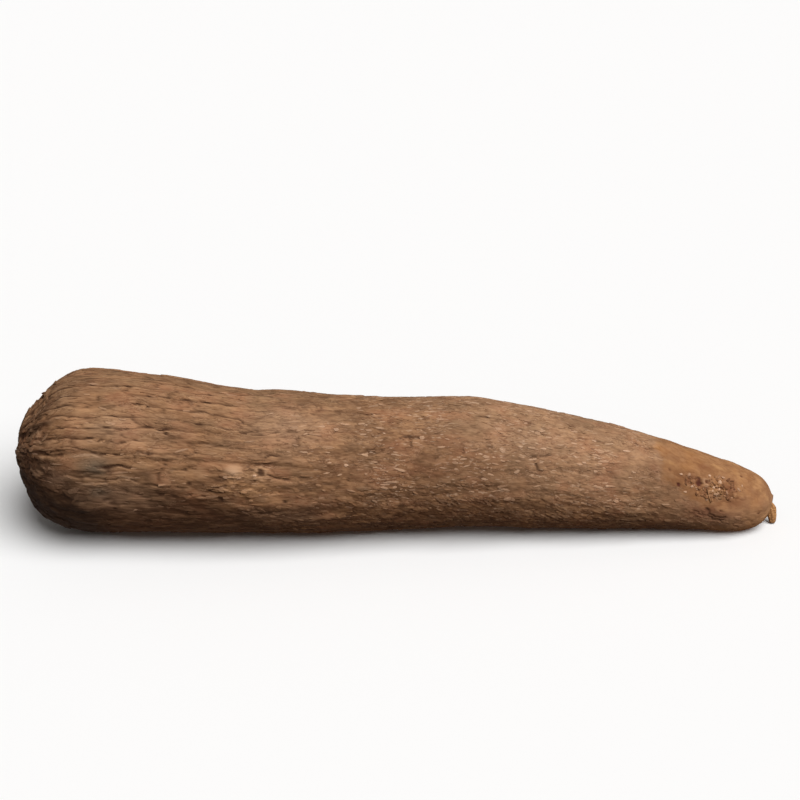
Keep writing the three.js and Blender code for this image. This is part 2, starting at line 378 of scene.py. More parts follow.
def ring_plan():
    """For each ring, where its middle is along X, and its tilt: -90 degrees at the head's pole, 0
    on the body and 90 at the tail's pole."""
    head_x = CAD_LOW.x + HEAD_END
    tail_x = CAD_HIGH.x - TAIL_END
    head_count = round(math.pi / 2 * HEAD_END / HEAD_RING_STEP)
    tail_count = round(math.pi / 2 * TAIL_END / RING_STEP)
    body = body_rings(head_x, tail_x)
    xs = np.concatenate([np.full(head_count, head_x), body, np.full(tail_count, tail_x)])
    head_tilts = np.linspace(-math.pi / 2, 0, head_count, endpoint=False)
    tail_tilts = np.linspace(math.pi / 2, 0, tail_count, endpoint=False)[::-1]
    return xs, np.concatenate([head_tilts, np.zeros(len(body)), tail_tilts])


class Skin:
    """The smooth form of the yam, over a grid of rings and turns."""

    def __init__(self, node):
        solid = solid_of(node)
        spine_x, spine_y, spine_z = spine_of(solid)
        xs, tilts = ring_plan()
        even = TURN * np.arange(SEGMENTS) / SEGMENTS
        angles = even + FRONT_CLOSER * np.sin(even - FRONT + math.pi)
        self.theta = np.broadcast_to(angles, (len(xs), SEGMENTS))
        self.turns = self.theta / TURN
        cos, sin = np.cos(self.theta), np.sin(self.theta)
        middle = np.stack([xs, np.interp(xs, spine_x, spine_y), np.interp(xs, spine_x, spine_z)], 1)
        self.middle = middle[:, None]
        tilt = tilts[:, None]
        ahead = np.sin(tilt) + 0 * self.theta
        self.outward = np.stack([ahead, np.cos(tilt) * cos, np.cos(tilt) * sin], -1)
        pairs = zip(middle, self.outward)
        reach = [[solid.ray_cast(start, way)[3] for way in ways] for start, ways in pairs]
        reach = blurred(np.array(reach), FACET_BLUR_AROUND, FACET_BLUR_ALONG)
        share = (middle[:, 0] - CAD_LOW.x) / LENGTH
        low_head = ease(0.42, 0.3, share)[:, None] * ease(0.45, 0.05, sin)
        soften = np.maximum(0.75 * ease(*FURROWS_SOFTEN, share)[:, None], 0.7 * low_head)
        reach += soften * (blurred(reach, *FURROW_BLUR) - reach)
        self.place = self.middle + reach[..., None] * self.outward
        steps = np.linalg.norm(np.diff(self.place[:, 0], axis=0), axis=1)
        self.run = np.concatenate([[0], steps.cumsum()])
        from_middle = np.moveaxis(self.place - self.middle, -1, 0)
        self.radius = np.hypot(*from_middle[1:])
        self.normal = self.normals()
        self.share = (self.place[..., 0] - CAD_LOW.x) / LENGTH
        self.grain = self.grained(*from_middle[1:])
        self.round = np.stack([0 * self.theta, -sin, cos], -1)
        self.ringed = np.stack([self.place[..., 0] / MM, cos, sin], -1)
        self.capping = np.abs(ahead)
        self.headwards = np.where(tilt < 0, self.capping, 0)
        self.wobble = STROKE_WOBBLE * noise(self.stretched(3.2, 3.2), 97)
        self.up = self.normal[..., 2]
        self.low_head = ease(0.42, 0.3, self.share) * ease(0.35, -0.1, self.up)
        # Painted shade: below a ragged edge, the lower side of the head is painted near black
        rise = from_middle[2] / PAINTED_SHADE_UNIT
        edge = np.interp(self.share, PAINTED_SHADE_SHARES, PAINTED_SHADE_HEIGHTS)
        edge += 0.2 * noise(self.stretched(12, 9), 98)
        edge += 0.1 * noise(self.stretched(4, 3), 100)
        self.painted_head_shade = ease(0.2, -0.34, rise - edge) * ease(0.15, 0.09, self.share)

    def normals(self):
        around = np.roll(self.place, -1, 1) - np.roll(self.place, 1, 1)
        along = np.gradient(self.place, axis=0)
        normal = np.cross(around, along)
        size = np.linalg.norm(normal, axis=-1, keepdims=True)
        return np.where(size > 1e-12, normal / np.maximum(size, 1e-12), self.outward)

    def grained(self, y, z):
        """The points' places, unturned from the grain's twist, and with the length shortened by how
        much the grain is stretched. Their y and z are given from the yam's middle."""
        shares = np.linspace(0, 1, GRAIN_SAMPLES)
        runs = 1 / np.interp(shares, GRAIN_SHARES, GRAIN_STRETCH)
        lengths = np.concatenate([[0], ((runs[1:] + runs[:-1]) / 2).cumsum()])
        lengths *= LENGTH / (GRAIN_SAMPLES - 1)
        twist = np.radians(np.interp(self.share, TWIST_SHARES, TWIST_DEGREES))
        across = y * np.cos(twist) + z * np.sin(twist)
        up = z * np.cos(twist) - y * np.sin(twist)
        return np.stack([np.interp(self.share, shares, lengths), across, up], -1)

    def stretched(self, along, around):
        """Each point's place in units of so many millimetres lengthwise and sideways."""
        return self.place / (np.array([along, around, around]) * MM)

    def away(self, spot):
        """Distances from a spot over the skin: lengthwise, and round the yam towards the top."""
        x, degrees = spot
        turn = (math.pi - math.radians(degrees)) - self.theta
        turn = (turn + math.pi) % TURN - math.pi
        return self.place[..., 0] - x * MM, turn * self.radius

    def patch(self, spot, length, width, strength=1):
        """The strength at a spot, fading out over that half length and half width."""
        along, around = self.away(spot)
        return strength * np.exp(-((along / (length * MM)) ** 2) - (around / (width * MM)) ** 2)

    def patches(self, spots):
        """The strongest of some patches at each point."""
        return np.max([self.patch(*spot) for spot in spots], axis=0)

    def stroke(self, spots, width):
        """1 on a line through spots, fading out over that half width."""
        nearest = np.full(self.theta.shape, FAR)
        for start, end in zip(spots, spots[1:]):
            ax, ay = self.away(start)
            bx, by = self.away(end)
            dx, dy = ax - bx, ay - by
            t = np.clip((ax * dx + ay * dy) / (dx * dx + dy * dy), 0, 1)
            nearest = np.minimum(nearest, np.hypot(ax - t * dx + self.wobble, ay - t * dy + self.wobble))
        return np.exp(-((nearest / (width * MM)) ** 2))

    def strokes(self, lines):
        """The strongest of some lines at each point, each its spots and its half width."""
        return np.max([self.stroke(*line) for line in lines], axis=0)


def jogs(skin):
    """Sideways jogs of the cracks: level for a while, then a short step to another level."""
    x = skin.place[..., 0] / JOG_LENGTH + 0.5 * noise(skin.stretched(60, 30), 11)
    block = skin.turns * JOG_BLOCKS
    cell = whole(x)
    x_part = ease(0.86, 1, x - cell)
    block_cell = whole(block)
    block_part = ease(0, 1, block - block_cell)
    level = 0
    for i, x_weight in enumerate((1 - x_part, x_part)):
        for j, block_weight in enumerate((1 - block_part, block_part)):
            corner = chance(cell + i, (block_cell + j) % JOG_BLOCKS, 21)
            level += x_weight * block_weight * corner
    return level


def rows_of(skin, count, sway, seed):
    """Which of so many lengthwise rows each point is in, as a number with its fraction."""
    row = skin.turns * count + 0.8 * noise(skin.ringed / [75, 0.7, 0.7], seed)
    row += sway * noise(skin.ringed / [11, 0.12, 0.12], seed + 1)
    row += 0.6 * sway * noise(skin.ringed / [5, 0.06, 0.06], seed + 2)
    return row


def cracks_between(skin, row, count, width, amount, length, seed):
    """How much of a lengthwise crack each point is, and how much of a curled lip below one."""
    line = whole(row + 0.5)
    aside = (row - line) * TURN * skin.radius / count
    along = skin.place[..., 0] / length
    presence = noise(np.stack([along, 7.31 * (line % count), 0 * row], -1), seed)
    presence = ease(0, 0.35, presence + amount)
    weight = 0.45 + 0.55 * ease(-0.2, 0.6, noise(skin.ringed / [5, 0.1, 0.1], seed + 1))
    width *= 0.75 + 0.4 * weight
    crack = presence * weight * np.exp(-((aside / width) ** 2))
    below = ease(-0.4, 0.4, -np.cos(skin.theta) * np.sign(aside))
    lip = presence * below * np.exp(-(((np.abs(aside) - LIP_AWAY) / LIP_WIDTH) ** 2))
    return crack, lip


def bark(skin):
    """Height of the plates of bark, how much of a crack each point is, and a tone for each plate, with a
    painted highlight on the curled lips below the cracks.
    """
    fading = ease(*BARK_FADES, skin.share)
    tailwards = ease(0.78, 0.85, skin.share)
    row = rows_of(skin, ROWS, 0.17 + 0.2 * skin.low_head, 1) + 0.55 * jogs(skin)
    amount = 0.42 - 0.9 * fading - 0.9 * ease(0.75, 0.85, skin.share)
    amount -= 0.5 * ease(0.4, 0.8, skin.headwards)
    cracks, lips = cracks_between(skin, row, ROWS, CRACK_WIDTH, amount, CRACK_RUN, 4)
    short_row = rows_of(skin, SHORT_ROWS, 0.45, 14)
    short_cracks, _ = cracks_between(
        skin, short_row, SHORT_ROWS, SHORT_CRACK_WIDTH, -0.2 - 0.5 * tailwards, SHORT_CRACK_RUN, 17
    )

    band = whole(row)
    strip = band % ROWS
    slant = 0.4 * (row - band) * (chance(strip, 0 * band, 33) - 0.5)
    brick = skin.place[..., 0] / PLATE_LENGTH + (strip * 0.618) % 1 + slant
    brick += 0.08 * noise(skin.ringed / [20, 0.06, 0.06], 5)
    end = whole(brick + 0.5)
    from_end = np.abs(brick - end) * PLATE_LENGTH
    reach = 0.25 + 0.6 * chance(strip, end, 34)
    crossing = (chance(strip, end, 31) > 0.5) * ease(reach + 0.1, reach - 0.1, row - band)
    crossing *= ease(0, 0.4, amount)
    cross_cracks = crossing * np.exp(-((from_end / CROSS_CRACK_WIDTH) ** 2))

    plate = whole(brick)
    proud = chance(strip, plate, 41) - 0.5
    lean = (row - band - 0.5) * np.cos(skin.theta) * (chance(strip, plate, 42) + 0.2)
    strength = 1 - 0.8 * fading - 0.2 * tailwards
    plates = strength * (PLATE_STEP * proud + PLATE_TILT * lean)
    height = blurred(plates, 0.8, 0.5) + LIP_HEIGHT * lips - CRACK_DEPTH * cracks
    height -= CROSS_CRACK_DEPTH * cross_cracks
    height -= SHORT_CRACK_DEPTH * short_cracks
    height *= 1 - 0.35 * skin.low_head
    height *= 1 - 0.35 * skin.painted_head_shade
    # The lips below the cracks are painted lighter: a painted highlight
    tone = blurred(strength * proud, 1.2, 0.8) + 0.5 * lips
    return height, np.max([cracks, 0.6 * short_cracks, 0.55 * cross_cracks], axis=0), tone


def fissures(skin):
    """Fine crooked cracks that outline small plates of bark."""
    spots = skin.grain / (np.array([6.5, 4.6, 4.6]) * MM)
    level = noise(spots, 24) + 0.3 * noise(2.6 * spots, 25)
    patchy = noise(skin.grain / (9 * MM), 26) - 0.1 - 0.7 * ease(0.36, 0.6, skin.share)
    return np.exp(-((level / 0.1) ** 2)) * ease(0, 0.3, patchy)


def shingled(skin, spots, lean, seed):
    """Small overlapping scales: how proud each point is, how near a gap, and the scale's tone."""
    nearest, second, way, number = scattered(spots, seed)
    gap = 1 - ease(0, 0.16, second - nearest)
    tilt = (way * skin.round).sum(-1) * (2 * another(number, 1) - 1)
    return number - 0.5 + lean * tilt, gap, another(number, 2) - 0.5


def scales(skin):
    """Height and tone of the small scales and soft folds."""
    bend = np.stack([noise(skin.grain / (5 * MM), seed) for seed in (51, 52, 53)], -1)
    grain = skin.grain + SCALE_BEND * bend
    head = ease(0.34, 0.22, skin.share) * (1 - 0.6 * ease(0.3, 0.7, skin.headwards))
    low = ease(0.35, -0.3, skin.up)
    strength = (1 - 0.5 * head) * (1 - 0.5 * ease(*SMOOTH_TAIL, skin.share)) * (1 + 0.7 * low)
    height = FOLD_HEIGHT * noise(skin.grain / (9 * MM), 56) * (1 - 0.5 * skin.low_head)
    height += LUMP_HEIGHT * skin.low_head * noise(skin.stretched(9, 5), 58)
    tone = 0.35 * noise(skin.grain / (11 * MM), 57)
    for seed, (size, step) in enumerate(SCALE_SIZES):
        proud, gap, number = shingled(skin, grain / size, 0.5, 61 + seed)
        height += strength * step * (proud - 0.6 * gap)
        tone += strength * (number - 0.25 * gap)
    return height, tone


def flakes(skin):
    """Height of the corky flakes on the head's face, and how deep in a gap between them."""
    bend = np.stack([noise(skin.stretched(9, 7), seed) for seed in (64, 65, 66)], -1)
    spots = skin.stretched(1.5 * FLAKE_SIZE, FLAKE_SIZE) + 0.35 * bend
    proud, gap, _ = shingled(skin, spots, 1.3, 67)
    small, small_gap, _ = shingled(skin, 2.3 * spots, 1.3, 68)
    low = ease(0.3, -0.5, skin.up) * ease(0.16, 0.07, skin.share)
    strength = np.clip(ease(0.3, 0.75, skin.headwards) + low, 0, 1) * (1 - 0.45 * skin.low_head)
    height = FLAKE_HEIGHT * (proud - 0.5 * gap) + 0.4 * FLAKE_HEIGHT * (small - 0.5 * small_gap)
    return strength * height, strength * np.maximum(gap, 0.5 * small_gap)


def speckles(skin):
    """How thickly small light specks and loose scales lie."""
    crowd = noise(skin.stretched(30, 18), 72) + 0.85 * ease(0.3, 0.5, skin.share) - 0.55
    return ease(-0.3, 0.6, crowd - 0.8 * ease(0.8, 0.84, skin.share))


def pits(skin):
    """Small pits: some scattered, and some where the photo shows them."""
    nearest, _, _, number = scattered(skin.stretched(17, 14), 73)
    hole = 0.8 * ease(0.09, 0.04, nearest) * (number > 0.65)
    ragged = 1 + 0.7 * noise(skin.stretched(2, 2), 77)
    for pit in PITS:
        hole = np.maximum(hole, ease(0.3, 0.85, ragged * skin.patch(*pit)))
    return hole


def curls(skin):
    """Raised rings of skin, broken in places, and the holes inside them."""
    ring = 0 * skin.theta
    hole = 0 * skin.theta
    ragged = 1 + 0.45 * noise(skin.stretched(2.2, 1.6), 79)
    for spot, radius in CURLS:
        distance = ragged * np.hypot(*skin.away(spot)) / (radius * MM)
        broken = 0.8 + 0.8 * noise(skin.stretched(radius, radius), 78)
        ring = np.maximum(ring, np.clip(broken, 0, 1) * np.exp(-(((distance - 1) / 0.4) ** 2)))
        hole = np.maximum(hole, ease(0.85, 0.4, distance))
    return ring, hole


def dressed(skin):
    """The skin's points with all their relief, and a mask from 0 to 1 for each thing that its
    colour follows."""
    plates, cracks, plate_tone = bark(skin)
    scaly, scale_tone = scales(skin)
    corky, gaps = flakes(skin)
    fine_cracks = fissures(skin)
    rings, ring_holes = curls(skin)
    holes = np.maximum(pits(skin), 0.7 * ring_holes)
    strokes = skin.strokes(STROKES)
    light = np.maximum(0.35 * rings, 0.8 * skin.strokes(PALE_STROKES))
    bud = skin.patch(*BUD)
    nub = skin.patch(*BUD_NUB) * (1 + 0.3 * noise(skin.stretched(3, 3), 102))
    worn = skin.patches(WORN_PATCHES) * (1 + 0.5 * noise(skin.stretched(7, 4), 99))
    edge = skin.stroke(*TAIL_EDGE) * ease(-0.2, 0.5, noise(skin.stretched(5, 5), 93))
    lump, lump_gap, lump_tone = shingled(skin, skin.stretched(8, 4.5), 1.3, 83)
    crumb, crumb_gap, crumb_tone = shingled(skin, skin.stretched(3.6, 2.8), 1.3, 81)
    height = (
        plates
        + corky
        + scaly
        + PALE_LINE_HEIGHT * light
        + RING_HEIGHT * rings
        + WORN_HEIGHT * worn * (crumb - 0.25 * crumb_gap)
        + NUB_HEIGHT * nub
        + EDGE_HEIGHT * edge
        + BUD_HEIGHT * bud * (lump - 0.4 * lump_gap)
        - PIT_DEPTH * holes
        - STROKE_DEPTH * strokes
        - FISSURE_DEPTH * fine_cracks
    )
    height *= ease(1, 0.93, skin.capping)
    place = np.clip(skin.place + height[..., None] * skin.normal, CAD_LOW, CAD_HIGH)

    reach = TAIL_BARK_REACH * ease(0.85, -0.5, skin.up)
    ragged = noise(skin.grain / (11 * MM), 91) + 0.7 * noise(skin.grain / (3 * MM), 94)
    bare = skin.share - reach + (0.009 + 0.3 * reach) * ragged
    # Painted shade: darker where the skin faces down, on the head's face and low on the head; the noise
    # adds random soil patches
    painted_shade_and_soil = ease(-0.1, -0.8, skin.up)
    painted_shade_and_soil += 1.3 * ease(0.12, 0.03, skin.share) * ease(0.8, 0.1, skin.up)
    painted_shade_and_soil += ease(0.4, 0.26, skin.share) * ease(0.3, -0.35, skin.up)
    painted_shade_and_soil += 0.3 * noise(skin.stretched(16, 8), 92)
    end = ease(0.86, 0.92, skin.share)
    # The crumbs and lumps each have a tone of their own, with painted shade in the gaps between them
    shades = worn * (0.8 * crumb_tone - 0.3 * crumb_gap) + bud * (0.4 * lump_tone - 0.3 * lump_gap)
    # Painted light: the underside of the tail's end is lighter
    shades += 0.5 * end * ease(0.3, -0.4, skin.up)
    masks = {
        "tone": 0.5 + 0.7 * scale_tone + 0.6 * plate_tone + shades,
        "crack": np.max([cracks, 0.65 * gaps, 0.85 * strokes, 0.5 * fine_cracks], axis=0),
        "pit": holes,
        # Painted shade in dips and painted light on rises of the relief
        "painted_relief_shading": 0.5 + (blurred(height, 6, 3) - height) / RELIEF_SHADING_RANGE,
        "fleck": light + 0.4 * edge,
        "speckled": speckles(skin),
        "tail": ease(SMOOTH_TAIL[0], SMOOTH_TAIL[1] + 0.5 * reach, bare),
        # Painted light: from the middle towards the tail, the skin is lighter where it faces up
        "pale": ease(0.45, 0.66, skin.share) * ease(-0.3, 0.5, skin.up),
        "painted_shade_and_soil": painted_shade_and_soil * (1 - 0.85 * end),
        "painted_head_shade": skin.painted_head_shade,
        "painted_shade_patches": skin.patches(PAINTED_SHADE_PATCHES),
        "paler_and_painted_light": np.maximum(skin.patches(PALER_AND_PAINTED_LIGHT), 0.8 * nub),
        "worn": worn * (0.8 + crumb_tone),
        "bud": bud * (0.5 + lump_tone) + nub + 0.7 * rings,
        "dust": skin.patches(SMUDGES),
        "red": skin.patches(RED_PATCHES) * (1 + noise(skin.stretched(8, 3), 101)),
    }
    return place, {name: np.clip(mask, 0, 1) for name, mask in masks.items()}


# Mesh


def ring_divisions(skin):
    """How many times fewer points each ring has than SEGMENTS."""
    divisions = []
    for radius, share in zip(skin.radius.mean(1), skin.share.mean(1)):
        divide = 1 if share < FINE_FROM else 2
        girth = TURN * radius
        while girth * divide / SEGMENTS < NARROWEST_STEP and divide < MOST_DIVIDED:
            divide *= 2
        divisions.append(divide)
    return divisions


def strips(rings):
    """Faces between one ring of points and the next. A ring is its first point and its count."""
    faces = []
    for (a_start, a_count), (b_start, b_count) in zip(rings, rings[1:]):
        steps = max(a_count, b_count)
        for i in range(steps):
            a_now, a_next = (a_start + (k * a_count // steps) % a_count for k in (i, i + 1))
            b_now, b_next = (b_start + (k * b_count // steps) % b_count for k in (i, i + 1))
            if a_now == a_next:
                faces.append((a_now, b_next, b_now))
            elif b_now == b_next:
                faces.append((a_now, a_next, b_now))
            else:
                faces.append((a_now, a_next, b_next, b_now))
    return faces


def added(name, data):
    piece = bpy.data.objects.new(name, data)
    bpy.context.scene.collection.objects.link(piece)
    return piece


def piece_of(name, points, faces, masks, grain, along, around):
    """A piece with what its material reads at each point, and with a map: how far each point is
    along and around. A face that crosses the line where the map is cut is kept whole."""
    mesh = bpy.data.meshes.new(name)
    mesh.from_pydata(points.tolist(), [], faces)
    mesh.shade_smooth()
    for mask, values in masks.items():
        layer = mesh.attributes.new(mask, "FLOAT", "POINT")
        layer.data.foreach_set("value", values.astype(np.float32))
    layer = mesh.attributes.new("grain", "FLOAT_VECTOR", "POINT")
    layer.data.foreach_set("vector", grain.astype(np.float32).ravel())
    corners = np.zeros(len(mesh.loops), np.int32)
    mesh.loops.foreach_get("vertex_index", corners)
    starts = np.zeros(len(mesh.polygons), np.int32)
    mesh.polygons.foreach_get("loop_start", starts)
    turn = around[corners]
    sizes = np.diff(np.append(starts, len(corners)))
    crosses = np.repeat(np.maximum.reduceat(turn, starts), sizes) - turn > 0.5
    spots = np.stack([along[corners], turn + crosses], 1)
    layer = mesh.uv_layers.new(name="OFBake")
    layer.data.foreach_set("uv", spots.astype(np.float32).ravel())
    return added(name, mesh)


def skin_piece(skin, place, masks):
    divisions = ring_divisions(skin)
    last = len(divisions) - 1
    picked = []
    rings = []
    for i, divide in enumerate(divisions):
        columns = range(0, 1 if i in (0, last) else SEGMENTS, divide)
        rings.append((len(picked), len(columns)))
        picked += [(i, j) for j in columns]
    rows, columns = np.array(picked).T
    values = {name: mask[rows, columns] for name, mask in masks.items()}
    points, grain = place[rows, columns], skin.grain[rows, columns]
    along = (skin.run / skin.run[-1])[rows]
    return piece_of("yam_skin", points, strips(rings), values, grain, along, columns / SEGMENTS)


def sampled(grid, spots):
    """A grid's values at spots, given as rows and columns that needn't be whole."""
    row, column = spots
    low = np.clip(whole(row), 0, len(grid) - 2)
    left = whole(column)
    down, across = row - low, column - left
    if grid.ndim == 3:
        down, across = down[:, None], across[:, None]
    near, far = left % SEGMENTS, (left + 1) % SEGMENTS
    upper = grid[low, near] * (1 - across) + grid[low, far] * across
    lower = grid[low + 1, near] * (1 - across) + grid[low + 1, far] * across
    return upper * (1 - down) + lower * down


def chip_spots(skin, spacing, density):
    """Rows and columns in the grid where chips of one kind lie, thicker where density is higher."""
    rows = []
    columns = []
    for distance in np.arange(spacing, skin.run[-1] - spacing, spacing):
        row = np.interp(distance, skin.run, np.arange(len(skin.run)))
        girth = TURN * skin.radius[round(row)].mean()
        count = max(3, round(girth / (CHIP_GAP * spacing)))
        steps = (np.arange(count) + np.random.uniform(-0.4, 0.4, count)) / count
        columns.append(steps * SEGMENTS % SEGMENTS)
        rows.append(row + np.random.uniform(-0.4, 0.4, count) * spacing / RING_STEP)
    rows = np.clip(np.concatenate(rows), 1, len(skin.run) - 2)
    spots = np.stack([rows, np.concatenate(columns)])
    return spots[:, np.random.uniform(size=len(rows)) < sampled(density, spots)]


def unit(vectors):
    return vectors / np.maximum(np.linalg.norm(vectors, axis=-1, keepdims=True), 1e-9)


def seen_spots(skin):
    """Rows and columns in the grid of the chips that show in the photo."""
    nearest = [np.argmin(np.hypot(*skin.away(chip[0]))) for chip in SEEN_CHIPS]
    return np.array(np.unravel_index(nearest, skin.theta.shape), float)


def chip_sizes(kind, count):
    """Lengths and widths of so many chips of one kind."""
    size = np.minimum(np.exp(kind.varied * np.random.normal(size=count)), LARGEST_CHIP)
    slim = np.exp(0.8 * kind.varied * np.random.normal(size=count))
    return np.stack([kind.length * MM * size * slim, kind.width * MM * size / slim], 1)


def chip_shapes(skin, place, low, kind, spots, sizes):
    """The points of each chip: the middle of its top, its corners and their roots in the skin. Also
    the outline of each as it lies flat, for a size of one."""
    count = len(spots[0])
    middle = sampled(place, spots)[:, None]
    outward = unit(sampled(skin.normal, spots))
    ahead = unit(np.array([1, 0, 0]) - outward[:, :1] * outward)
    aside = np.cross(outward, ahead)
    downward = np.where(aside[:, 2:] > 0, -1, 1)
    turn = kind.slant * sampled(low, spots) + kind.wobble * np.random.normal(size=count)
    turn = np.radians(turn)[:, None]
    along = (downward * ahead * np.cos(turn) + aside * np.sin(turn))[:, None]
    below = (downward * aside * np.cos(turn) - ahead * np.sin(turn))[:, None]
    outward = outward[:, None]
    corner = np.arange(CHIP_CORNERS) + np.random.uniform(-0.3, 0.3, (count, CHIP_CORNERS))
    corner = TURN * corner / CHIP_CORNERS
    jagged = np.random.uniform(0.65, 1.1, (count, CHIP_CORNERS))
    flat = np.stack([jagged * np.cos(corner), jagged * np.sin(corner)], -1)
    lengthwise = sizes[:, None, :1] * along * flat[..., :1]
    across = (lengthwise + sizes[:, None, 1:] * below * flat[..., 1:]) / 2
    thickness = kind.thickness * MM * np.random.uniform(0.4, 1.4, (count, 1))
    raised = (thickness + kind.lift * MM * flat[..., 1])[..., None]
    top = middle + (thickness + kind.dome * MM)[..., None] * outward
    corners = middle + across + raised * outward
    roots = middle + 0.9 * across - CHIP_ROOT * outward
    return np.clip(np.concatenate([top, corners, roots], 1), CAD_LOW, CAD_HIGH), flat


def chips_piece(skin, place, masks):
    """The loose chips of skin, each with a slightly domed top and sides that go into the skin."""
    clear = (1 - masks["crack"]) * (1 - ease(0.05, 0.4, blurred(masks["pit"], 3, 1.5)))
    head = ease(0.4, 0.26, skin.share)
    low = ease(0.4, -0.2, skin.up)
    face = ease(0.45, 0.75, skin.headwards)
    face += 0.7 * ease(0.25, -0.3, skin.up) * ease(0.17, 0.08, skin.share)
    crowd = 0.1 + 0.45 * masks["speckled"] + 0.35 * low + 0.6 * masks["red"]
    densities = (
        (SCALES, (1 - head) * (1 - masks["tail"]) * clear * crowd),
        (SLIVERS, 0.3 * head * clear),
        (CORKY, 0.5 * np.clip(face, 0, 1) * (1 - 0.5 * skin.painted_head_shade)),
        (CRUMBS, 0.55 * ease(0.1, 0.5, masks["worn"]) * clear),
    )
    batches = []
    for kind, density in densities:
        spots = chip_spots(skin, kind.spacing * MM, density)
        count = len(spots[0])
        batches.append((kind, spots, chip_sizes(kind, count), np.random.uniform(size=count)))
    _, lengths, widths, shades = zip(*SEEN_CHIPS)
    batches.append((SEEN, seen_spots(skin), MM * np.stack([lengths, widths], 1), shades))

    shapes = [chip_shapes(skin, place, low, *batch[:3]) for batch in batches]
    points, flat = (np.concatenate(values) for values in zip(*shapes))
    kinds, spots, _, shades = zip(*batches)
    spots = np.concatenate(spots, 1)
    lightness = np.concatenate(shades)
    counts = [len(values) for values in shades]
    bold = np.repeat([kind.bold for kind in kinds], counts)
    rounded = np.repeat([kind.rounded for kind in kinds], counts)
    count, each, _ = points.shape
    values = {name: sampled(mask, spots) for name, mask in masks.items()}
    values["chip"] = bold * (1 - 0.5 * sampled(low, spots))
    values["chip"] *= np.minimum(1, 1.3 * np.abs(2 * lightness - 1)) ** 1.4
    values["chip_tone"] = lightness * (1 - 0.75 * values["red"])
    values["tone"] = np.clip(values["tone"] + 0.5 * np.random.uniform(-1, 1, count), 0, 1)
    values["worn"] = values["pit"] = 0 * lightness
    values = {name: np.repeat(value, each) for name, value in values.items()}
    # The chips' sides are painted darker towards their roots: painted shade under their edges
    root = np.tile(np.repeat([0, 1], [1 + CHIP_CORNERS, CHIP_CORNERS]), count)
    values["crack"] = 0.7 * root
    values["painted_relief_shading"] = 0.48 + 0.4 * root

    starts = each * np.arange(count)[:, None]
    now = starts + 1 + np.arange(CHIP_CORNERS)
    after = np.roll(now, -1, axis=1)
    tops = np.stack([0 * now + starts, now, after], -1)
    sides = np.stack([now, now + CHIP_CORNERS, after + CHIP_CORNERS, after], -1)
    faces = tops.reshape(-1, 3).tolist() + sides.reshape(-1, 4).tolist()
    grain = sampled(skin.grain, spots) - sampled(place, spots)
    grain = (grain[:, None] + points).reshape(-1, 3)
    cells = math.ceil(math.sqrt(count))
    cell = np.stack([np.arange(count) % cells, np.arange(count) // cells], -1)[:, None] + 0.5
    spread = np.concatenate([0 * flat[:, :1], 0.28 * flat, 0.44 * flat], 1)
    map_spots = ((cell + spread) / cells).reshape(-1, 2).T
    piece = piece_of("yam_chips", points.reshape(-1, 3), faces, values, grain, *map_spots)
    piece.data.polygons.foreach_set("use_smooth", np.tile(np.repeat(rounded, CHIP_CORNERS), 2))
    return piece


def stub_piece(skin):
    """The dried stub at the tip of the tail: a flat ribbed strand with its root in the flesh."""
    steps = np.linspace(0, 1, STUB_RINGS)
    knots = np.linspace(0, 1, len(STUB_PATH))
    path = np.stack([np.interp(steps, knots, axis) for axis in MM * np.array(STUB_PATH).T], 1)
    _, y, z = skin.middle[-1, 0]
    foot = np.array([CAD_HIGH.x - STUB_BEYOND, y, z + STUB_DROP])
    middle = foot + blurred(path, 0, STUB_PATH_BLUR)
    ahead = unit(np.gradient(middle, axis=0))
    side = unit(np.cross(ahead, (0, 1, 0)))
    other = np.cross(ahead, side)
    turn = TURN * np.arange(STUB_SIDES) / STUB_SIDES
    step = steps[:, None] * np.ones(STUB_SIDES)
    ringed = np.stack([5 * step, 2.5 * np.cos(turn) + 0 * step, 2.5 * np.sin(turn) + 0 * step], -1)
    ribs = 1 + 0.12 * np.cos(STUB_RIBS * turn + 2.5 * step) + 0.22 * noise(ringed, 95)
    half = np.interp(steps, knots, MM * np.array(STUB_WIDTHS))[:, None] * ribs
    fray = STUB_FRAY * step**4 * noise(ringed * [0.2, 1.2, 1.2], 96)
    place = middle[:, None] + (half * np.cos(turn))[..., None] * side[:, None]
    place += (STUB_FLATNESS * half * np.sin(turn))[..., None] * other[:, None]
    place = np.clip(place + fray[..., None] * ahead[:, None], CAD_LOW, CAD_HIGH)
    rings = [(0, 1)] + [(1 + i * STUB_SIDES, STUB_SIDES) for i in range(STUB_RINGS)]
    rings.append((1 + STUB_RINGS * STUB_SIDES, 1))
    points = np.concatenate([middle[:1], place.reshape(-1, 3), middle[-1:]])
    along = np.concatenate([[0], np.repeat(0.02 + 0.96 * steps, STUB_SIDES), [1]])
    around = np.concatenate([[0.5], np.tile(turn / TURN, STUB_RINGS), [0.5]])
    fibre = np.stack([STUB_LENGTH * along, *(points - foot).T[1:]], 1)
    return piece_of("yam_stub", points, strips(rings), {}, fibre, along, around)


skin = Skin("yam")
dressed_place, dressed_masks = dressed(skin)
yam = skin_piece(skin, dressed_place, dressed_masks)
chips = chips_piece(skin, dressed_place, dressed_masks)
stub = stub_piece(skin)


# Materials


def colour(red, green, blue):
    """A colour given as on a screen, from 0 to 255, for a shader."""
    values = [value / 255 for value in (red, green, blue)]
    return [v / 12.92 if v <= 0.04045 else ((v + 0.055) / 1.055) ** 2.4 for v in values] + [1]


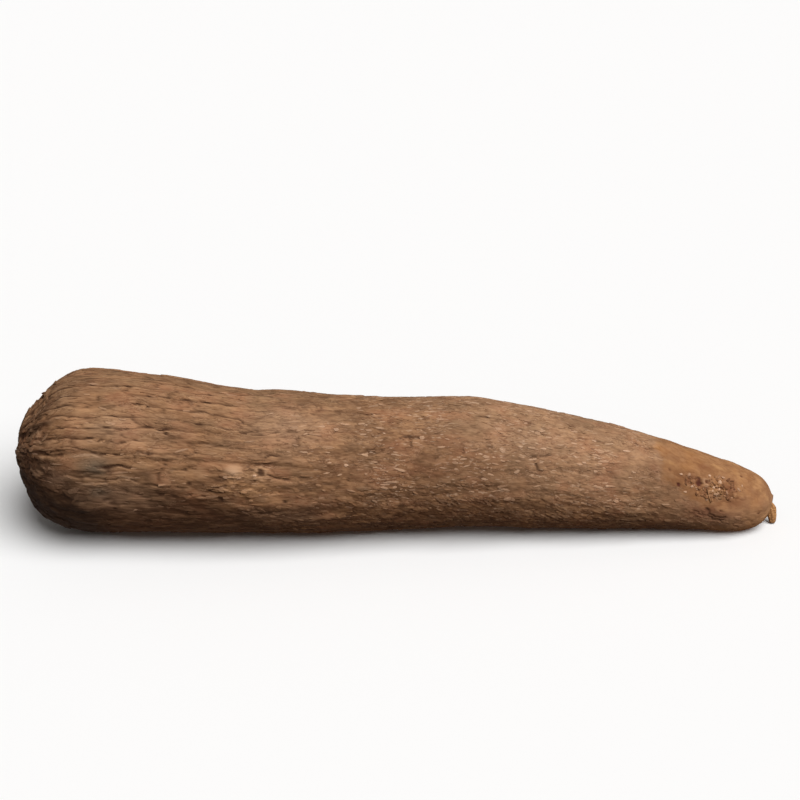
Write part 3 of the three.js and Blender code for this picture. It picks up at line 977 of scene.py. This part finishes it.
class Shader:
    """A material whose nodes are made and joined by name. What feeds an input is a number, a colour
    as on a screen, the name of a mask or what another node gives."""

    def __init__(self, name, specular):
        self.material = bpy.data.materials.new(name)
        self.material.use_nodes = True
        self.tree = self.material.node_tree
        self.surface = self.tree.nodes["Principled BSDF"].inputs
        self.surface["Specular IOR Level"].default_value = specular

    def feed(self, inputs, values):
        """Feeds a node's inputs, each given with its name or number."""
        for key, value in values:
            if isinstance(value, str):
                value = self.node("ShaderNodeAttribute", attribute_name=value).outputs["Fac"]
            if isinstance(value, bpy.types.NodeSocket):
                self.tree.links.new(value, inputs[key])
            elif isinstance(value, tuple):
                inputs[key].default_value = colour(*value)
            else:
                inputs[key].default_value = value

    def node(self, kind, inputs=(), **settings):
        made = self.tree.nodes.new(kind)
        for key, value in settings.items():
            setattr(made, key, value)
        self.feed(made.inputs, inputs)
        return made

    def math(self, operation, *values):
        return self.node("ShaderNodeMath", enumerate(values), operation=operation).outputs[0]

    def times(self, a, b):
        return self.math("MULTIPLY", a, b)

    def remap(self, value, low, high, to_low=0, to_high=1):
        values = enumerate((value, low, high, to_low, to_high))
        return self.node("ShaderNodeMapRange", values).outputs[0]

    def band(self, value, middle, width):
        """1 where a value is at the middle, and 0 from a width away."""
        away = self.math("ABSOLUTE", self.math("SUBTRACT", value, middle))
        return self.remap(away, 0, width, 1, 0)

    def ramp(self, value, stops):
        """A colour for a value, from stops that are each a value and a colour."""
        made = self.node("ShaderNodeValToRGB", [(0, value)])
        elements = made.color_ramp.elements
        while len(elements) < len(stops):
            elements.new(0.5)
        for element, (position, tint) in zip(elements, stops):
            element.position = position
            element.color = colour(*tint)
        return made.outputs["Color"]

    def mix(self, factor, a, b, blend="MIX"):
        inputs = (0, factor), (6, a), (7, b)
        made = self.node("ShaderNodeMix", inputs, data_type="RGBA", blend_type=blend)
        return made.outputs[2]

    def layered(self, tone, *layers):
        """A colour under others, each how much it covers, its colour and perhaps how it blends."""
        for layer in layers:
            tone = self.mix(layer[0], tone, *layer[1:])
        return tone

    def noise(self, size, longer=1, detail=2, rough=0.5, warp=0):
        """Noise of a size in millimetres, which is so many times longer along the grain."""
        size *= MM
        grain = self.node("ShaderNodeAttribute", attribute_name="grain").outputs["Vector"]
        scale = [1 / (longer * size), 1 / size, 1 / size]
        place = self.node("ShaderNodeMapping", [("Vector", grain), ("Scale", scale)]).outputs[0]
        inputs = ("Vector", place), ("Scale", 1), ("Detail", detail)
        inputs += ("Roughness", rough), ("Distortion", warp)
        return self.node("ShaderNodeTexNoise", inputs).outputs["Fac"]

    def finished(self, tone, rough, bumps, strength, rise):
        """The material, with its colour, its roughness and fine bumps of that strength and rise."""
        inputs = ("Strength", strength), ("Distance", rise), ("Height", bumps)
        bump = self.node("ShaderNodeBump", inputs).outputs[0]
        self.feed(self.surface, (("Base Color", tone), ("Roughness", rough), ("Normal", bump)))
        return self.material


def skin_material():
    shader = Shader("yam_skin", specular=0.17)
    mix, times, remap = shader.mix, shader.times, shader.remap
    streaks = shader.noise(1.7, longer=2, rough=0.6, warp=0.5)
    fine = shader.noise(0.8, longer=2.6, rough=0.6)
    blotches = shader.noise(20, longer=0.7)
    hues = shader.noise(12, longer=0.7, detail=1)
    mottles = shader.noise(6, longer=1.2, detail=3, rough=0.55)
    peaks = remap(shader.noise(1, longer=1.8, detail=1), 0.62, 0.7)
    loose = remap(shader.noise(4), 0.35, 0.55)
    edges = shader.noise(2.6, longer=1.6, detail=3, rough=0.6, warp=0.6)
    clusters = times(remap(shader.noise(8, detail=1), 0.42, 0.58), remap("tail", 0, 1, 1, 0.15))
    # Thin dark lines along the contours of a noise, with a painted highlight just beside them, as on a
    # step lit from above
    dark_edge = times(shader.band(edges, 0.5, 0.03), clusters)
    painted_edge_highlight = times(shader.band(edges, 0.555, 0.03), clusters)
    bark_tone = shader.layered(
        mix("tone", (115, 80, 54), (175, 130, 92)),
        # Painted light on the upper side, from the middle towards the tail
        (times("pale", 0.55), (190, 148, 114)),
        (remap(streaks, 0.3, 0.65, 0.5, 0), (103, 69, 45)),
        (remap(blotches, 0.45, 0.7, 0, 0.45), (122, 98, 73)),
        (remap(hues, 0.5, 0.7, 0, 0.45), (165, 111, 80)),
        (remap(fine, 0.4, 0.7, 0, 0.32), (197, 155, 117)),
    )
    tail_tone = shader.layered(
        mix("tone", (139, 95, 61), (183, 135, 93)),
        (remap(hues, 0.5, 0.75, 0, 0.35), (176, 120, 68)),
        (remap(mottles, 0.5, 0.75, 0, 0.5), (140, 92, 60)),
        (remap(mottles, 0.45, 0.3, 0, 0.4), (196, 148, 98)),
    )
    # Only the chips have the masks chip and chip_tone, which count as 0 on the skin itself
    chip_tones = [(0, (98, 62, 42)), (0.5, (146, 102, 74)), (1, (218, 180, 150))]
    tone = shader.layered(
        mix("tail", bark_tone, tail_tone),
        # Painted shade underneath and on the head, with some soil patches
        (times("painted_shade_and_soil", 0.76), (60, 34, 20)),
        (times("bud", 0.7), (196, 148, 104)),
        (times("dust", 0.8), (90, 83, 70)),
        (times("red", 0.65), (112, 60, 38)),
        # Painted shade in broad patches
        ("painted_shade_patches", (211, 204, 198), "MULTIPLY"),
        # Paler patches and the nub, and painted light under the tail
        ("paler_and_painted_light", (196, 158, 128)),
        # Painted shade in dips and painted light on rises
        (remap("painted_relief_shading", 0.5, 0.9, 0, 0.7), (76, 48, 30)),
        (remap("painted_relief_shading", 0.5, 0.1, 0, 0.4), (194, 154, 120)),
        (times(peaks, times("speckled", 0.52)), (214, 180, 152)),
        (times(loose, times("worn", 0.8)), (118, 72, 48)),
        (times(painted_edge_highlight, 0.25), (200, 162, 130)),
        (times(dark_edge, 0.45), (84, 54, 35)),
        (times("fleck", 0.5), (206, 170, 140)),
        ("chip", shader.ramp("chip_tone", chip_tones)),
        (times("pit", 0.8), mix("tail", (48, 28, 17), (78, 34, 27))),
        (times("crack", 0.85), (54, 31, 18)),
        # Near black painted shade on the lower side of the head
        (times("painted_head_shade", 0.75), (27, 14, 7)),
    )
    bumps = shader.math("SUBTRACT", shader.math("ADD", fine, streaks), dark_edge)
    rough = remap(fine, 0.3, 0.7, 0.82, 0.95)
    return shader.finished(tone, rough, bumps, strength=0.4, rise=0.25 * MM)


def stub_material():
    shader = Shader("yam_stub", specular=0.25)
    fibres = shader.noise(0.35, longer=2.5, detail=3, rough=0.6)
    dark = shader.remap(shader.noise(1.2, detail=1), 0.5, 0.7, 0, 0.6)
    tone = shader.mix(shader.remap(fibres, 0.35, 0.65), (160, 108, 64), (216, 166, 112))
    tone = shader.mix(dark, tone, (116, 70, 38))
    rough = shader.remap(fibres, 0.3, 0.7, 0.75, 0.9)
    return shader.finished(tone, rough, fibres, strength=0.5, rise=0.15 * MM)


bark_skin = skin_material()
for piece, material in ((yam, bark_skin), (chips, bark_skin), (stub, stub_material())):
    piece.data.materials.append(material)
    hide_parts("yam")
    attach(piece, "root")


# Floor, light and camera


def floor_piece():
    """A plain pale floor. It catches the yam's shadow, and throws no light back up at it."""
    mesh = bpy.data.meshes.new("floor")
    signs = ((-1, -1), (1, -1), (1, 1), (-1, 1))
    mesh.from_pydata([(x * FLOOR_REACH, y * FLOOR_REACH, 0) for x, y in signs], [], [(0, 1, 2, 3)])
    piece = added("floor", mesh)
    piece.visible_diffuse = False
    piece.visible_shadow = False
    shader = Shader("floor", specular=0)
    shader.surface["Base Color"].default_value = (BACKDROP, BACKDROP, BACKDROP, 1)
    shader.surface["Roughness"].default_value = 1
    mesh.materials.append(shader.material)
    return piece


def aimed(name, data, back):
    """A lamp or camera that looks the other way from back."""
    piece = added(name, data)
    piece.rotation_euler = (-Vector(back)).to_track_quat("-Z", "Y").to_euler()
    return piece


def light(name, away, strength, spread, tint):
    """A soft light so far off that it lights everything alike."""
    data = bpy.data.lights.new(name, "SUN")
    data.energy = strength
    data.angle = math.radians(spread)
    data.color = tint
    aimed(name, data, away)


def backdrop():
    """White beyond the floor, which only the camera sees."""
    world = bpy.data.worlds.new("studio")
    world.use_nodes = True
    inputs = world.node_tree.nodes["Background"].inputs
    inputs["Color"].default_value = (1, 1, 1, 1)
    inputs["Strength"].default_value = BACKDROP
    for rays in ("diffuse", "glossy", "transmission", "scatter"):
        setattr(world.cycles_visibility, rays, False)
    bpy.context.scene.world = world


def camera():
    sin, cos = math.sin(CAMERA_ELEVATION), math.cos(CAMERA_ELEVATION)
    back, up = Vector((0, -cos, sin)), Vector((0, sin, cos))
    data = bpy.data.cameras.new("camera")
    data.lens = CAMERA_LENS
    data.sensor_width = SENSOR_WIDTH
    piece = aimed("camera", data, back)
    piece.location = Vector((CAMERA_SIDEWAYS, 0, 0)) + CAMERA_RAISE * up + CAMERA_DISTANCE * back
    bpy.context.scene.camera = piece


floor = floor_piece()
for name, settings in LIGHTS.items():
    light(name, *settings)
backdrop()
bpy.context.scene.view_settings.view_transform = "Standard"
camera()
